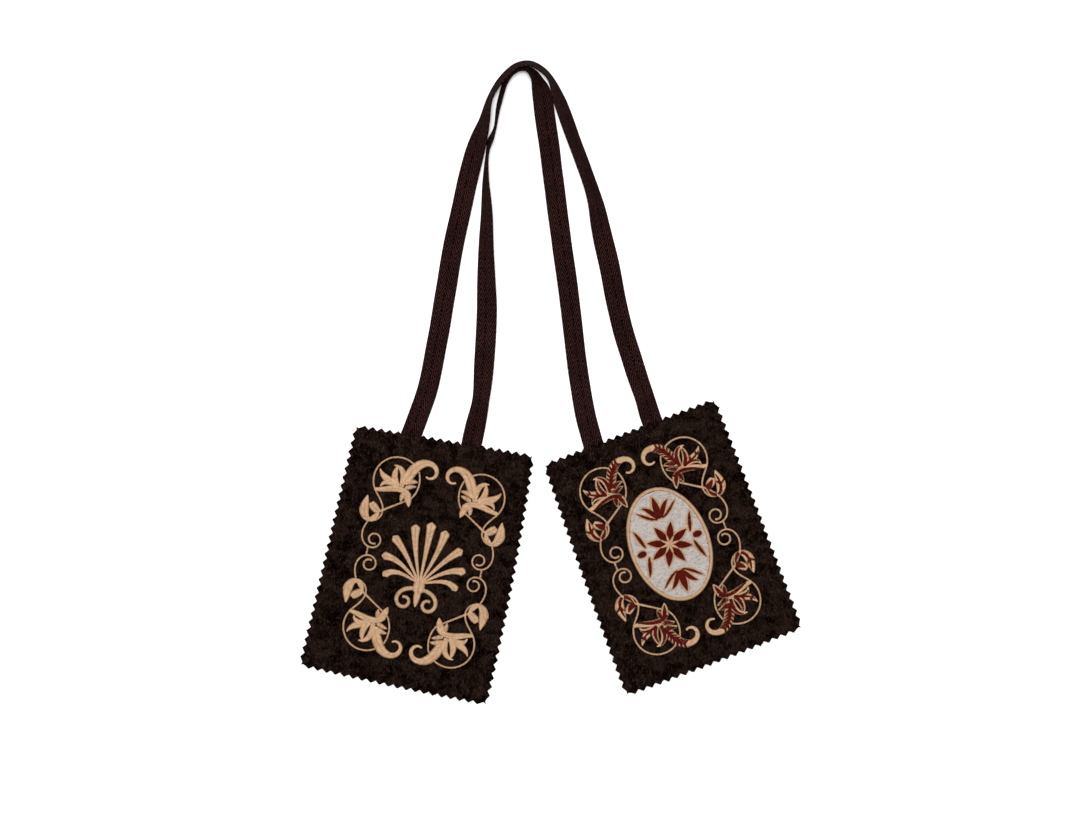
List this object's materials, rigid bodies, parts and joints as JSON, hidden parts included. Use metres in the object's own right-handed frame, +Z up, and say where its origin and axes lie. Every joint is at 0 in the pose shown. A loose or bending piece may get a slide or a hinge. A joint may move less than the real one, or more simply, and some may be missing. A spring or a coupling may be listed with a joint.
{
  "type": "wool scapular",
  "caption": "Wool scapular laid flat: pinked felt panels with embroidered vine frames, joined by shoulder tapes that bend round at the top.",
  "frame": {"origin": "under the middle of the whole laid-out piece, on the surface it lies on", "axes": "+Y from the panels towards the bend of the tapes, +X towards the panel with the oval medallion, +Z up out of the embroidered faces"},
  "size_m": [0.2526, 0.3226, 0.0103],
  "materials": {
    "wool": "matt heathered felt",
    "tape": "matt twill weave",
    "tan_thread": "silky satin stitch",
    "cream_thread": "silky fill stitch",
    "maroon_thread": "silky satin stitch"
  },
  "bodies": {
    "root": {"wool_panel_left": "wool", "wool_panel_right": "wool", "tape_outer": "tape", "tape_inner": "tape", "vine_left_top_right": "tan_thread", "vine_left_top_left": "tan_thread", "vine_left_bottom_right": "tan_thread", "vine_left_bottom_left": "tan_thread", "vine_right_top_right": "tan_thread", "vine_right_top_left": "tan_thread", "vine_right_bottom_right": "tan_thread", "vine_right_bottom_left": "tan_thread", "palmette": "tan_thread", "medallion_rim": "tan_thread", "medallion_field": "cream_thread", "medallion_rosette": "maroon_thread"}
  },
  "joints": []
}
